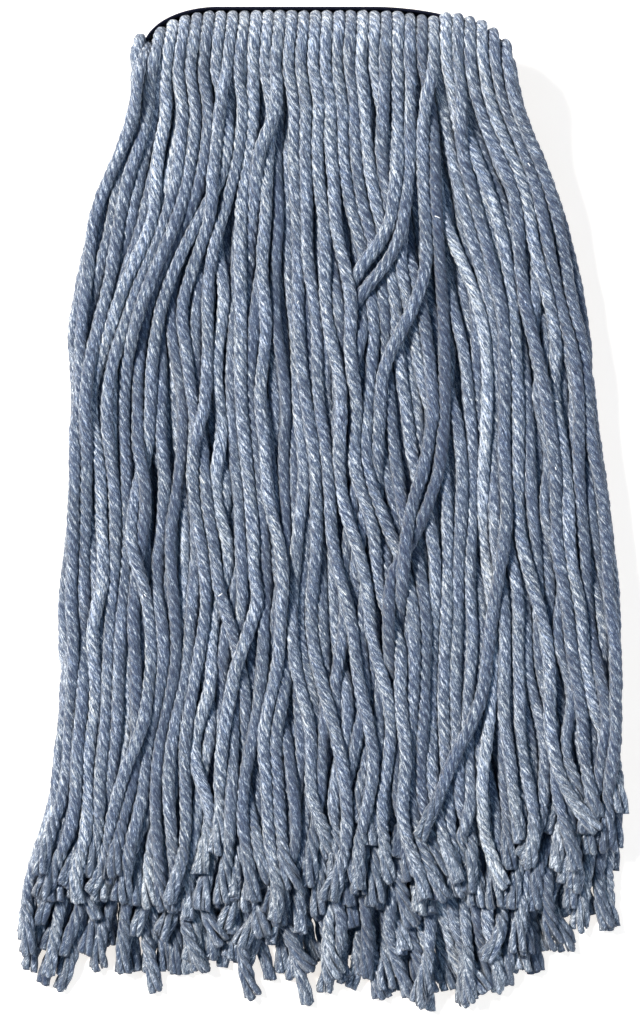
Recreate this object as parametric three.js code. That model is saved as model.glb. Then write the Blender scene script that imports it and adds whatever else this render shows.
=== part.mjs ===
// Cut-end wet mop head: twisted four-ply yarns laid side by side under a narrow sewn headband,
// folded in half at the band and lying flat. Millimetres, +Z up, +Y towards the folded edge.
// The yarns lie in locks (bunches) that part from one another as the mop opens.

import * as THREE from 'three';
import { mergeVertices } from 'three/addons/utils/BufferGeometryUtils.js';

// ---- headband ----
const BAND_WIDTH = 25.4;
const BAND_LENGTH = 150;
const BAND_THICKNESS = 1.6;
const SEAM_ROWS = [-8.5, -3.5, 3.5, 8.5];
const GROOVE_HALF_WIDTH = 0.7;
const GROOVE_DEPTH = 0.8;
const GROOVE_SLOPE = 0.15;
const THREAD_HALF_WIDTH = 0.35;
const THREAD_THICKNESS = 0.4;
const SEAM_END = 0.01;
const BAND_CELLS = 28;
const EDGE_STATION = 0.85;
const BOBBIN_GAP = 0.5;
const BOBBIN_ROWS = [-5.6, -3.2, 3.2, 5.6];

// ---- the folded edge, seen from above: a straight run with a quarter ellipse at each end ----
const FOLD_Y = 199;
const STRAIGHT_LEFT = -40;
const STRAIGHT_RIGHT = 20;
const LEFT_CORNER = { length: 30, drop: 17 };
const RIGHT_CORNER = { length: 58, drop: 24 };

// ---- the fold, seen from the side ----
const LAYER_PITCH = 3.9;
const LAYERS = 4;
const STACK = LAYERS * LAYER_PITCH;
const OUTER_RADIUS = 18;
const HALF_FLAT = 6;
const MID_Z = HALF_FLAT + OUTER_RADIUS;
const TOUCH_GAP = 0.3;
const LAYER_GAP = 1;
const YARN_OFFSET = BAND_THICKNESS + TOUCH_GAP;
const BEND_CENTRE = YARN_OFFSET + OUTER_RADIUS;
const QUARTER_BEND = OUTER_RADIUS * Math.PI / 2;
const CUT_ANGLE = THREE.MathUtils.degToRad(40.7);

// ---- the yarn behind the fold: the corners fade out, the halves close up and the pile thins ----
const CORNER_CLEARANCE = { within: 4, slope: 1.3 };
const CORNER_FADE = { from: 20, to: 120 };
const CLOSED_UP_AT = 90;
const THINNING = { amount: 3.2, from: 60, to: 260 };
const REST_GAP = 0.6;

// ---- the locks of yarn ----
const LOCK_COUNT = 6;
const LOCK_GAP = 1.4;
const HALF_LOCK_GAP = 0.4;
const LEFT_AT_FOLD = -66;
const RIGHT_AT_FOLD = 74;
const SPREAD_START = 28;
const SOFT_START = 8;
const LEFT_FAN = { width: 30, reach: 36, slope: 0.036 };
const RIGHT_FAN = { width: 36, reach: 60, slope: 0.032 };

// ---- where the yarn is cut: a bow across the width, and shorter yarn at the right ----
const LOWER_END = { plain: 372, bow: 28, turn: 0.75 * Math.PI, rightCut: 45, power: 8 };
const UPPER_END = { plain: 350, bow: 8, turn: Math.PI, rightCut: 18, power: 3 };

// ---- how finely the yarn is stepped along its length and across a lock ----
const HANGING_STEPS = 15;
const FOLD_STEPS = 10;
const LOCK_CELLS = 2;
const HALF_LOCK_CELLS = 1;

const band = new THREE.MeshStandardMaterial({ color: 0x1c1f38, roughness: 0.85, metalness: 0 });
const thread = new THREE.MeshStandardMaterial({ color: 0x2a2f4c, roughness: 0.7, metalness: 0 });
const yarn = new THREE.MeshStandardMaterial({ color: 0x7d91ae, roughness: 0.95, metalness: 0 });
const innerYarn = new THREE.MeshStandardMaterial({ color: 0x64789a, roughness: 0.95, metalness: 0 });

const { clamp, lerp, smoothstep } = THREE.MathUtils;

// A closed block of across x along x deep cells, each corner moved to where place() says.
function block(across, along, deep, place) {
  const box = new THREE.BoxGeometry(1, 1, 1, across, along, deep);
  box.deleteAttribute('normal');
  box.deleteAttribute('uv');
  const geometry = mergeVertices(box);
  const corners = geometry.attributes.position;
  for (let i = 0; i < corners.count; i++) {
    const at = place(corners.getX(i) + 0.5, corners.getY(i) + 0.5, corners.getZ(i) + 0.5);
    corners.setXYZ(i, at.x, at.y, at.z);
  }
  geometry.computeVertexNormals();
  return geometry;
}

// ---- the folded edge in plan ----

function foldPath() {
  const path = new THREE.Path();
  path.absellipse(STRAIGHT_LEFT, FOLD_Y - LEFT_CORNER.drop, LEFT_CORNER.length, LEFT_CORNER.drop,
    Math.PI, Math.PI / 2, true);
  path.lineTo(STRAIGHT_RIGHT, FOLD_Y);
  path.absellipse(STRAIGHT_RIGHT, FOLD_Y - RIGHT_CORNER.drop, RIGHT_CORNER.length, RIGHT_CORNER.drop,
    Math.PI / 2, 0, true);
  return path;
}

// How far the folded edge lies behind its straight run at x, and its slope there.
function corner(x) {
  const left = x < STRAIGHT_LEFT;
  if (!left && x <= STRAIGHT_RIGHT) return { drop: 0, slope: 0 };
  const { length, drop } = left ? LEFT_CORNER : RIGHT_CORNER;
  const share = (left ? STRAIGHT_LEFT - x : x - STRAIGHT_RIGHT) / length;
  const rise = Math.sqrt(1 - share * share);
  return { drop: drop * (1 - rise), slope: (drop / length) * share / rise };
}

// ---- the fold in section: o is the distance behind the band's outer face ----

function bend(side, angle, radius) {
  return {
    o: BEND_CENTRE - radius * Math.cos(angle),
    z: MID_Z + side * (HALF_FLAT + radius * Math.sin(angle)),
  };
}

// The yarn's section. run is 0 at the middle of the fold, negative along the lower half and
// positive along the upper; depth is 0 on the outside of the fold and STACK on the inside.
function yarnSection(run, depth) {
  const side = run < 0 ? -1 : 1;
  const h = Math.abs(run);
  if (h <= HALF_FLAT) return { o: YARN_OFFSET + depth, z: MID_Z + run };
  if (h <= HALF_FLAT + QUARTER_BEND) {
    return bend(side, (h - HALF_FLAT) / OUTER_RADIUS, OUTER_RADIUS - depth);
  }
  const o = BEND_CENTRE + h - HALF_FLAT - QUARTER_BEND;
  const thickness = STACK - THINNING.amount * smoothstep(o, THINNING.from, THINNING.to);
  const share = depth / STACK;
  if (side < 0) return { o, z: thickness * share };
  const open = 2 * MID_Z - STACK;
  const under = lerp(open, thickness + REST_GAP, smoothstep(o, BEND_CENTRE, CLOSED_UP_AT));
  return { o, z: under + thickness * (1 - share) };
}

// The run at which the fold is cut from the locks, a gap past the cutting plane.
function cutRun(depth, gap) {
  return HALF_FLAT + OUTER_RADIUS * (CUT_ANGLE + gap / (OUTER_RADIUS - depth));
}

const CUT_EDGE = bend(1, CUT_ANGLE, OUTER_RADIUS);
const PIVOT_Y = FOLD_Y - CUT_EDGE.o;

// ---- the spread of the yarn in plan ----

// How far one edge of the yarn has fanned out: quickly past the fold, then at a steady slope.
function fan(past, { width, reach, slope }) {
  return width * (1 - Math.exp(-past / reach)) + slope * past;
}

// The side-to-side place of a share of the width, at a distance from the pivot line of its half.
// It depends on that distance alone, so a lock that swings up stays clear of its neighbours.
function spread(share, distance) {
  const over = Math.max(0, distance - SPREAD_START);
  const past = over * over / (over + SOFT_START);
  const left = LEFT_AT_FOLD - fan(past, LEFT_FAN);
  const right = RIGHT_AT_FOLD + fan(past, RIGHT_FAN);
  return lerp(left, right, share);
}

// The run at which the yarn is cut, from its distance behind the folded edge.
function endRun(share, side) {
  const { plain, bow, turn, rightCut, power } = side < 0 ? LOWER_END : UPPER_END;
  const end = plain + bow * Math.sin(turn * share) - rightCut * share ** power;
  return end - BEND_CENTRE + HALF_FLAT + QUARTER_BEND;
}

// A point of the yarn in a strip from share0 to share1 of the width, u across the strip.
function yarnPoint(strip, u, run, depth) {
  const share = lerp(strip.from, strip.to, u);
  const { o, z } = yarnSection(run, depth);
  const { drop, slope } = corner(lerp(LEFT_AT_FOLD, RIGHT_AT_FOLD, share));
  const slant = Math.hypot(1, CORNER_CLEARANCE.slope * slope);
  const clearance = Math.min(o, CORNER_CLEARANCE.within) * (slant - 1);
  const faded = smoothstep(o, CORNER_FADE.from, CORNER_FADE.to);
  const y = FOLD_Y - o - (drop + clearance) * (1 - faded);
  const pivotZ = run < 0 ? 2 * MID_Z - CUT_EDGE.z : CUT_EDGE.z;
  const distance = Math.hypot(y - PIVOT_Y, z - pivotZ);
  const left = spread(strip.from, distance) + strip.leftGap / 2;
  const right = spread(strip.to, distance) - strip.rightGap / 2;
  return new THREE.Vector3(lerp(left, right, u), y, z);
}

// Strips of the width: whole locks, or the left (a) and right (b) half of each.
function lockStrip(lock) {
  return { from: lock / LOCK_COUNT, to: (lock + 1) / LOCK_COUNT, leftGap: LOCK_GAP, rightGap: LOCK_GAP };
}

function halfStrips(lock) {
  const whole = lockStrip(lock);
  const middle = (whole.from + whole.to) / 2;
  return {
    a: { ...whole, to: middle, rightGap: HALF_LOCK_GAP },
    b: { ...whole, from: middle, leftGap: HALF_LOCK_GAP },
  };
}

const OUTER_LAYERS = { from: 0, to: STACK / 2 - LAYER_GAP / 2 };
const INNER_LAYERS = { from: STACK / 2 + LAYER_GAP / 2, to: STACK };

// One half of the mop's length, from the fold's cut to the yarn's cut ends; steps crowd the bend.
function hangingYarn(strip, layers, side, across) {
  return block(across, HANGING_STEPS, 1, (u, a, w) => {
    const depth = lerp(layers.from, layers.to, w);
    const start = cutRun(depth, TOUCH_GAP);
    const end = endRun(lerp(strip.from, strip.to, u), side);
    const share = side < 0 ? 1 - a : a;
    return yarnPoint(strip, u, side * lerp(start, end, share ** 2), depth);
  });
}

function foldYarn(strip, layers) {
  return block(LOCK_CELLS, FOLD_STEPS, 1, (u, a, w) => {
    const depth = lerp(layers.from, layers.to, w);
    return yarnPoint(strip, u, lerp(-1, 1, a) * cutRun(depth, 0), depth);
  });
}

// ---- headband and its stitching ----

const path = foldPath();
const PATH_LENGTH = path.getLength();

function bandPoint(u, across, depth) {
  const share = u * BAND_LENGTH / PATH_LENGTH;
  const on = path.getPointAt(share);
  const along = path.getTangentAt(share);
  const h = Math.abs(across);
  const section = h <= HALF_FLAT
    ? { o: depth, z: MID_Z + across }
    : bend(Math.sign(across), (h - HALF_FLAT) / BEND_CENTRE, BEND_CENTRE - depth);
  return new THREE.Vector3(on.x + along.y * section.o, on.y - along.x * section.o, section.z);
}

// The band's section runs through these places across its width, with a groove at each seam row.
function bandStations() {
  const half = BAND_WIDTH / 2;
  const nearEdge = half * EDGE_STATION;
  const plain = [-half, -nearEdge, -HALF_FLAT, 0, HALF_FLAT, nearEdge, half];
  const stations = plain.map((across) => ({ across, groove: 0 }));
  for (const row of SEAM_ROWS) {
    for (const side of [-1, 1]) {
      stations.push({ across: row + side * (GROOVE_HALF_WIDTH + GROOVE_SLOPE), groove: 0 });
      stations.push({ across: row + side * GROOVE_HALF_WIDTH, groove: GROOVE_DEPTH });
    }
  }
  return stations.sort((p, q) => p.across - q.across);
}

function headband() {
  const stations = bandStations();
  const cells = stations.length - 1;
  return block(BAND_CELLS, cells, 1, (u, a, w) => {
    const { across, groove } = stations[Math.round(a * cells)];
    return bandPoint(u, across, w > 0.5 ? BAND_THICKNESS : groove);
  });
}

function seamThread(row) {
  const top = (GROOVE_DEPTH - THREAD_THICKNESS) / 2;
  return block(BAND_CELLS, 1, 1, (u, a, w) => {
    const across = row + lerp(-1, 1, a) * THREAD_HALF_WIDTH;
    return bandPoint(clamp(u, SEAM_END, 1 - SEAM_END), across, top + w * THREAD_THICKNESS);
  });
}

function bobbinThread(row) {
  const cells = 2 * LOCK_COUNT - 2;
  const margin = 1 / (cells + 2);
  const strip = { from: margin, to: 1 - margin, leftGap: 0, rightGap: 0 };
  return block(cells, 1, 1, (u, a, w) => {
    const run = row + lerp(-1, 1, a) * THREAD_HALF_WIDTH;
    return yarnPoint(strip, u, run, STACK + BOBBIN_GAP + w * THREAD_THICKNESS);
  });
}

// ---- assembly ----

const mop = new THREE.Group();

function add(name, geometry, material) {
  const mesh = new THREE.Mesh(geometry, material);
  mesh.name = name;
  mop.add(mesh);
}

add('headband', headband(), band);
SEAM_ROWS.forEach((row, i) => add(`seam_thread_${i + 1}`, seamThread(row), thread));
BOBBIN_ROWS.forEach((row, i) => add(`bobbin_thread_${i + 1}`, bobbinThread(row), thread));

for (let lock = 0; lock < LOCK_COUNT; lock++) {
  const number = lock + 1;
  const whole = lockStrip(lock);
  add(`fold_yarn_${number}`, foldYarn(whole, OUTER_LAYERS), yarn);
  add(`fold_inner_yarn_${number}`, foldYarn(whole, INNER_LAYERS), innerYarn);
  for (const [half, side] of [['top', 1], ['bottom', -1]]) {
    const inner = hangingYarn(whole, INNER_LAYERS, side, LOCK_CELLS);
    add(`${half}_inner_yarn_${number}`, inner, innerYarn);
    for (const [letter, strip] of Object.entries(halfStrips(lock))) {
      const outer = hangingYarn(strip, OUTER_LAYERS, side, HALF_LOCK_CELLS);
      add(`${half}_yarn_${number}${letter}`, outer, yarn);
    }
  }
}

// The origin is the middle of the footprint, on the surface that the mop lies on.
const box = new THREE.Box3().setFromObject(mop);
const centre = box.getCenter(new THREE.Vector3());
mop.position.set(-centre.x, -centre.y, -box.min.z);
mop.updateMatrixWorld(true);

export default mop;
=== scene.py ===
import math

import bpy
import numpy as np
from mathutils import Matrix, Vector


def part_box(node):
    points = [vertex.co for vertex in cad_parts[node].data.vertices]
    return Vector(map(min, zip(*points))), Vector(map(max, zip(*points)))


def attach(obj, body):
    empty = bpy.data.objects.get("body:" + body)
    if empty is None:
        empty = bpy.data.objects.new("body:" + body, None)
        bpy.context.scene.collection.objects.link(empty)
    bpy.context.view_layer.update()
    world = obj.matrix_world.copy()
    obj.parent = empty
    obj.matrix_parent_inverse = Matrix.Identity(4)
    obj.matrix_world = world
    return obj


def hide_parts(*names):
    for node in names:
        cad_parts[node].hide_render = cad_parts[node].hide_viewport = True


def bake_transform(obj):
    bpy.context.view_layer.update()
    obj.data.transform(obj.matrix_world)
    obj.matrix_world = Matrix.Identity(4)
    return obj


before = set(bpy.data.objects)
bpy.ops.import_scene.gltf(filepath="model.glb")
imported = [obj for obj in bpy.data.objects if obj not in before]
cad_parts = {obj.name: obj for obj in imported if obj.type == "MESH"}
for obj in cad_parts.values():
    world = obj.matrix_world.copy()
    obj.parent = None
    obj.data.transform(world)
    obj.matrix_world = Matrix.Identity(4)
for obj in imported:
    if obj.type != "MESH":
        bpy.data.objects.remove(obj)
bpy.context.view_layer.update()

# A string mop head folded at its headband and lying on the floor. Every half yarn is laid out from the
# fold to its cut end, all are settled together, and each is then made into twisted four-ply yarn.
#
# Lengths in this script are in millimetres, and MM turns them into Blender's metres.
MM = 0.001

# ---- Sizes: what the frame gives, and the design's own figures for the fold and the spread of yarn ----

band_low, band_high = (np.array(corner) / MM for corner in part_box("headband"))
FOLD_Y = band_high[1]
MID_Z = (band_low[2] + band_high[2]) / 2
BAND_WIDTH = 25.4
BAND_LENGTH = 150.0
BAND_THICKNESS = 0.9

# Across the mop, places are in design x, which SIDE_SHIFT turns into the frame's. The fold is straight
# between two of them, and each of its corners is a length along x and a drop back from the straight run.
LEFT_END, STRAIGHT_LEFT, STRAIGHT_RIGHT = -70.0, -40.0, 20.0
SIDE_SHIFT = band_low[0] - LEFT_END
LEFT_CORNER = (30.0, 17.0)
RIGHT_CORNER = (58.0, 24.0)
CORNER_REACH = 0.96

# In the fold the layers of yarn lie behind the band, flat for HALF_FLAT from its middle, and then turn a
# quarter bend, of OUTER_RADIUS at the outermost layer.
LAYERS = 4
LAYER_PITCH = 3.9
STACK = LAYERS * LAYER_PITCH
OUTER_RADIUS = 18.0
HALF_FLAT = 6.0
YARN_OFFSET = 1.2
BEND_CENTRE = YARN_OFFSET + OUTER_RADIUS
QUARTER_BEND = OUTER_RADIUS * math.pi / 2

# Each column is a share of the width, and every other layer is shifted by STAGGER of a column.
LOCKS = 6
COLUMNS = 31
FIRST_COLUMN, STAGGER = 0.375, 0.25
SHARE_LIMITS = (0.012, 0.988)
LEFT_AT_FOLD, RIGHT_AT_FOLD = -68.5, 76.0

# Places (design x) of the outermost yarns at STATIONS, the distances behind the fold.
STATIONS = np.arange(0, 361, 40)
LEFT_EDGE = (-70, -75, -90, -99, -98, -99, -104, -104, -108, -114.5)
RIGHT_EDGE = (74, 80, 96, 105.5, 110, 116, 119, 118, 119.5, 118)

YARN_DIAMETER = 5.2
YARN_RADIUS = YARN_DIAMETER / 2
POINTS = 104


def smooth(x, low, high):
    """0 up to low, 1 from high on, and an even S-shaped rise between them."""
    t = np.clip((np.asarray(x, float) - low) / (high - low), 0, 1)
    return t * t * (3 - 2 * t)


def placed(name, data):
    """An object with this data, linked into the scene."""
    thing = bpy.data.objects.new(name, data)
    bpy.context.scene.collection.objects.link(thing)
    return thing


# ---- Camera: straight above, framing the mop as it lies ----

FRAME_HEIGHT = 406.0
FRAME_CENTRE = 199.0
LOOK_HEIGHT = 27.0
LENS, SENSOR = 100.0, 36.0
SIGHT_METRES = 10


def add_camera():
    camera = placed("camera", bpy.data.cameras.new("camera"))
    camera.data.lens = LENS
    camera.data.sensor_width = SENSOR
    distance = LENS * FRAME_HEIGHT / SENSOR
    camera.location = (SIDE_SHIFT * MM, (FOLD_Y - FRAME_CENTRE) * MM, (LOOK_HEIGHT + distance) * MM)
    camera.data.clip_end = SIGHT_METRES
    bpy.context.scene.camera = camera


# ---- Where the yarn runs ----

# The stack thins by THINNING between two distances behind the fold, and the upper half has come down to
# within REST_GAP of the lower one at CLOSED_AT.
THINNING, THINS_FROM, THINS_TO = 3.2, 60, 260
REST_GAP, CLOSED_AT = 0.6, 75


def corner(x):
    """How far the folded edge lies behind its straight run at x, and its slope there."""
    left = x < STRAIGHT_LEFT
    length = np.where(left, LEFT_CORNER[0], RIGHT_CORNER[0])
    drop = np.where(left, LEFT_CORNER[1], RIGHT_CORNER[1])
    share = np.where(left, STRAIGHT_LEFT - x, np.maximum(x - STRAIGHT_RIGHT, 0)) / length
    share = np.clip(share, 0, CORNER_REACH)
    rise = np.sqrt(1 - share**2)
    return drop * (1 - rise), drop / length * share / rise


def section(run, depth, upper):
    """Distance behind the band's face and height, for a place along the yarn and a depth in the stack."""
    side = np.where(upper, 1.0, -1.0)
    angle = np.clip((run - HALF_FLAT) / OUTER_RADIUS, 0, math.pi / 2)
    radius = OUTER_RADIUS - depth
    behind = BEND_CENTRE - radius * np.cos(angle)
    height = MID_Z + side * (np.minimum(run, HALF_FLAT) + radius * np.sin(angle))
    straight = np.maximum(run - HALF_FLAT - QUARTER_BEND, 0)
    behind = behind + straight
    thickness = STACK - THINNING * smooth(behind, THINS_FROM, THINS_TO)
    share = depth / STACK
    open_height = 2 * MID_Z - STACK
    closing = smooth(behind, BEND_CENTRE, CLOSED_AT)
    under = open_height + (thickness + REST_GAP - open_height) * closing
    settled = np.where(upper, under + thickness * (1 - share), thickness * share)
    return behind, np.where(straight > 0, settled, height)


def curve(before, near, far, after, t):
    """The Catmull-Rom curve from near (t = 0) to far (t = 1)."""
    return 0.5 * (2 * near + (far - before) * t + (2 * before - 5 * near + 4 * far - after) * t**2
                  + (3 * near - before - 3 * far + after) * t**3)


def through(rows, distance):
    """A smooth curve through values given at STATIONS, read at each distance."""
    rows, distance = np.asarray(rows, float), np.asarray(distance, float)
    steps = distance / STATIONS[1]
    index = np.clip(steps.astype(int), 0, len(STATIONS) - 2)
    t = np.clip(steps - index, -0.2, 1)
    row = (np.arange(len(rows))[:, None],) if rows.ndim == 2 else ()
    nearby = [rows[(*row, np.clip(index + offset, 0, len(STATIONS) - 1))] for offset in (-1, 0, 1, 2)]
    return curve(*nearby, t)


def spread(share, distance):
    """The side-to-side place of a share of the width, at a distance from the fold."""
    left, right = through(LEFT_EDGE, distance), through(RIGHT_EDGE, distance)
    return left + (right - left) * share


def lower_end(share):
    """How far behind the fold the lower yarns end."""
    return np.interp(share, (0, 0.04, 0.09, 0.2, 0.35, 0.5, 0.7, 0.84, 0.9, 0.95, 1),
                     (384, 368, 386, 388, 384, 388, 400, 387, 361, 363, 352))


def upper_end(share):
    """How far behind the fold the upper yarns end."""
    return 352 + 8 * np.sin(math.pi * share) - 20 * share**3


# The top layer's own flow: the left third fans out early, the middle runs straight and then leans to
# the right, and the right third fans out. Each row is a share of the width and its places across
# (design x) at STATIONS.
TOP_FLOW = {
    0.00: LEFT_EDGE,
    0.11: (-52, -53, -60, -72, -82, -84, -84, -85, -88, -93),
    0.24: (-31, -32, -36, -54, -65, -68, -70, -71, -73, -75),
    0.30: (-23, -23, -26, -33, -37, -35, -33, -33, -33, -34),
    0.37: (-14, -14, -14, -14, -12, -9, -6, -5, -3, -3),
    0.47: (2, 2, 2, 3, 5, 13, 23, 30, 32, 33),
    0.62: (23, 23, 27, 36, 44, 48, 51, 52, 54, 55),
    0.75: (41, 42, 51, 60, 67, 70, 73, 76, 78, 79),
    0.88: (59, 63, 78, 87, 93, 97, 100, 103, 104, 106),
    1.00: RIGHT_EDGE,
}

# Single yarns that leave the flow, by column: (distance behind the fold, design x), and the stretch of
# that distance over which the yarn lies on top of the others.
CROSSERS = {
    11: ([(0, -17), (45, -16), (52, -21), (60, -24), (72, -25), (90, -27), (104, -28), (130, -26),
          (170, -22), (240, -14), (360, -12)], (44, 75)),
    20: ([(0, 25), (70, 28), (120, 38), (160, 44), (180, 41), (196, 36), (212, 33), (240, 32),
          (360, 36)], (140, 240)),
    21: ([(0, 30), (84, 30), (91, 27), (98, 21), (108, 13), (116, 11), (160, 13),
          (360, 18)], (70, 108)),
    22: ([(0, 36), (88, 36), (97, 33), (106, 26), (114, 18), (121, 12), (170, 10),
          (360, 12)], (72, 116)),
    23: ([(0, 40), (80, 46), (120, 50), (183, 49), (200, 44), (216, 37), (226, 31), (250, 31),
          (360, 33)], (170, 260)),
    24: ([(0, 43), (100, 43), (111, 40), (122, 35), (132, 29), (142, 24), (152, 22),
          (200, 22), (360, 26)], (88, 180)),
    9: ([(0, -26), (80, -30), (160, -29), (210, -27), (225, -28), (233, -24), (245, -29),
         (262, -35), (290, -38), (360, -36)], (205, 300)),
    7: ([(0, -36), (80, -44), (120, -56), (160, -50), (200, -44), (228, -42), (250, -35),
         (280, -30), (360, -28)], (220, 246)),
    26: ([(0, 53), (60, 60), (120, 74), (200, 76), (270, 66), (300, 53), (330, 46),
          (360, 44)], (255, 345)),
}


# Each of those paths is read at PATH_PLACES, and its corners are rounded with PATH_WINDOW.
PATH_PLACES = np.linspace(-30, 390, 211)
PATH_WINDOW = np.hanning(13)


def rounded_path(path, distance):
    """The place across (design x) on one yarn's own path, its corners rounded, at each distance."""
    at, place = np.array(path, float).T
    weights = PATH_WINDOW / PATH_WINDOW.sum()
    rounded = np.convolve(np.interp(PATH_PLACES, at, place), weights, "same")
    return np.interp(distance, PATH_PLACES, rounded)


def top_flow(share, distance):
    """The place across (design x) of top yarns with these shares, at each distance from the fold."""
    shares = np.array(list(TOP_FLOW))
    rows = [np.interp(share, shares, row) for row in np.array(list(TOP_FLOW.values()), float).T]
    return through(np.array(rows).T, distance)


# How closely each upper layer follows the top layer's flow.
FOLLOWS_FLOW = (1.0, 0.35, 0.15, 0.0)

# The run over which a top yarn joins the flow, over which one that crosses joins its own path, and over
# which the strays set in.
JOINS_FLOW = (36, 60)
JOINS_PATH = (36, 50)
STRAYS_SET_IN = (40, 110)

# The fold holds the first stretch of each yarn where it is laid out.
HELD_UPPER, HELD_LOWER = 32, 34

# Over these distances behind the fold, yarns fan out, the fold's rounded ends fade and looseness sets in.
FANS_OUT = (0, 30)
CORNERS_FADE = (20, 120)
LOOSENS = (30, 110)

# A yarn that crosses starts CROSSING_RISE higher over its stretch on top, and past it comes down by
# CROSSING_FALL times that, under its neighbours. It keeps CROSSERS_STRAY of its strays.
CROSSING_RISE, CROSSING_FALL = 6.0, 1.8
CROSSERS_STRAY = 0.15

# Near its right end the fold bulges forward: two rises, each (size, from x, to x).
BULGES = (5.4, 42.5, 53), (1.4, 55, 64)

# The yarn at the left end of the fold stands out a little, to the left and forward.
LOOP_LEFT, LOOP_FORWARD = 3.2, 6.0

# Strays. Waves shared by neighbours are (size, wavelength, turns across the width), and waves of each
# yarn's own are (size, shortest wavelength, longest wavelength).
SHARED_WAVES = (2.5, 310, 1.1), (2.2, 190, 2.3), (1.6, 130, 4.1)
OWN_WAVES = (2.5, 150, 260), (2.2, 80, 140), (0.9, 45, 70)
RIPPLES = (1.3, 120, 220), (0.8, 50, 90)
CURL, CURL_LENGTH = 6.5, 60
UPPER_SWEEP, LOWER_SWEEP, SWEEP_LENGTH = 5.0, 26.0, 110
LOOSENESS = 1.1

# Cut ends scatter by CUT_SCATTER, and each layer further out ends CUT_STEP sooner.
CUT_SCATTER = 8
CUT_STEP = 2.0


class Yarns:
    """Every half yarn from the middle of the fold to its cut end, as rows of evenly spaced points."""

    def __init__(self, rng):
        grid = [(upper, layer, column) for upper in (True, False)
                for layer in range(LAYERS) for column in range(COLUMNS)]
        self.upper, self.layer, self.column = map(np.array, zip(*grid))
        count = len(grid)
        stagger = STAGGER * (self.layer % 2)
        self.share = np.clip((self.column + FIRST_COLUMN + stagger) / COLUMNS, *SHARE_LIMITS)
        self.lock = np.minimum((self.share * LOCKS).astype(int), LOCKS - 1)
        self.top = self.upper & (self.layer == 0)
        end = np.where(self.upper, upper_end(self.share), lower_end(self.share))
        to_end = end - BEND_CENTRE + HALF_FLAT + QUARTER_BEND
        scatter = np.clip(rng.normal(0, CUT_SCATTER, count), -2 * CUT_SCATTER, 1.75 * CUT_SCATTER)
        self.length = to_end + scatter - CUT_STEP * (LAYERS - 1 - self.layer)
        self.step = self.length / (POINTS - 1)
        self.run = np.linspace(0, 1, POINTS)[None, :] * self.length[:, None]
        self.points = self.lay_out(rng)
        self.fixed = self.run < np.where(self.upper, HELD_UPPER, HELD_LOWER)[:, None]

    def lay_out(self, rng):
        """Where each point starts: fanned out from the fold on its own path, with strays added."""
        share, upper = self.share[:, None], self.upper[:, None]
        depth = ((self.layer + 0.5) * LAYER_PITCH)[:, None]
        behind, height = section(self.run, depth, upper)
        at_fold = LEFT_AT_FOLD + (RIGHT_AT_FOLD - LEFT_AT_FOLD) * share
        y = self.rounded_corners(at_fold, behind) + self.bulge(at_fold, behind, height) * upper
        distance = np.hypot(FOLD_Y - y, np.where(upper, 2 * MID_Z - height, height) * 0.5)
        x = at_fold + (spread(share, distance) - at_fold) * smooth(distance, *FANS_OUT)
        follows = np.where(self.upper, np.choose(self.layer, FOLLOWS_FLOW), 0.0)[:, None]
        x = x + follows * smooth(self.run, *JOINS_FLOW) * (top_flow(self.share, distance) - x)
        for column, (path, _) in CROSSERS.items():
            follow = smooth(self.run[column], *JOINS_PATH)
            x[column] += follow * (rounded_path(path, distance[column]) - x[column])
        outer_left = (self.upper & (self.layer == 1) & (self.column == 0))[:, None]
        loop = outer_left * (1 - smooth(self.run, 25, 60))
        x = x - LOOP_LEFT * loop
        y = y + LOOP_FORWARD * loop * smooth(height, 30, 36)
        freedom = smooth(self.run, *STRAYS_SET_IN)
        x = x + SIDE_SHIFT + freedom * self.wander(rng)
        height = height + freedom * self.ripple(rng) + self.loft(behind)
        for column, (path, (start, finish)) in CROSSERS.items():
            on_top = smooth(distance[column], start - 8, start + 8)
            on_top = on_top * (1 - CROSSING_FALL * smooth(distance[column], finish - 6, finish + 8))
            height[column] += CROSSING_RISE * on_top
        return np.stack([x, y, height], axis=-1)

    def rounded_corners(self, at_fold, behind):
        """The y of each point, with the fold's two ends rounded back and the yarns there kept apart."""
        drop, slope = corner(at_fold)
        clearance = np.minimum(behind, 4) * (np.hypot(1, 1.3 * slope) - 1)
        return FOLD_Y - behind - (drop + clearance) * (1 - smooth(behind, *CORNERS_FADE))

    def bulge(self, at_fold, behind, height):
        """How far forward the top of the fold bulges near its right end."""
        rise = sum(size * smooth(at_fold, start, finish) for size, start, finish in BULGES)
        return rise * smooth(height, 32, 39) * (1 - smooth(behind, 12, 34))

    def loft(self, behind):
        """The layers start loosely stacked, and gravity then closes them up."""
        from_floor = np.where(self.upper, 2 * LAYERS - self.layer, self.layer)[:, None]
        return LOOSENESS * from_floor * smooth(behind, *LOOSENS)

    def wander(self, rng):
        """Strays to the side: waves shared by neighbours, waves of each yarn's own, and curled ends."""
        count = len(self.share)
        share, run = self.share[:, None], self.run
        shift = np.zeros_like(run)
        for size, wave, across in SHARED_WAVES:
            phase = rng.uniform(0, 2 * math.pi)
            shift += size * np.sin(2 * math.pi * (run / wave + across * share) + phase)
        for size, wave in self.waves(rng, OWN_WAVES):
            shift += size * rng.normal(0, 0.9, (count, 1)) * wave
        shift[list(CROSSERS)] *= CROSSERS_STRAY
        past_end = run - self.length[:, None]
        curl = np.clip((past_end + CURL_LENGTH) / CURL_LENGTH, 0, 1) ** 2
        sweep = np.clip((past_end + SWEEP_LENGTH) / SWEEP_LENGTH, 0, 1) ** 2
        most_outward = np.where(self.upper[:, None], UPPER_SWEEP, LOWER_SWEEP)
        outward = most_outward * np.minimum(2 * share - 1, 0.4) ** 3
        return shift + curl * rng.normal(0, CURL, (count, 1)) + sweep * outward

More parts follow.
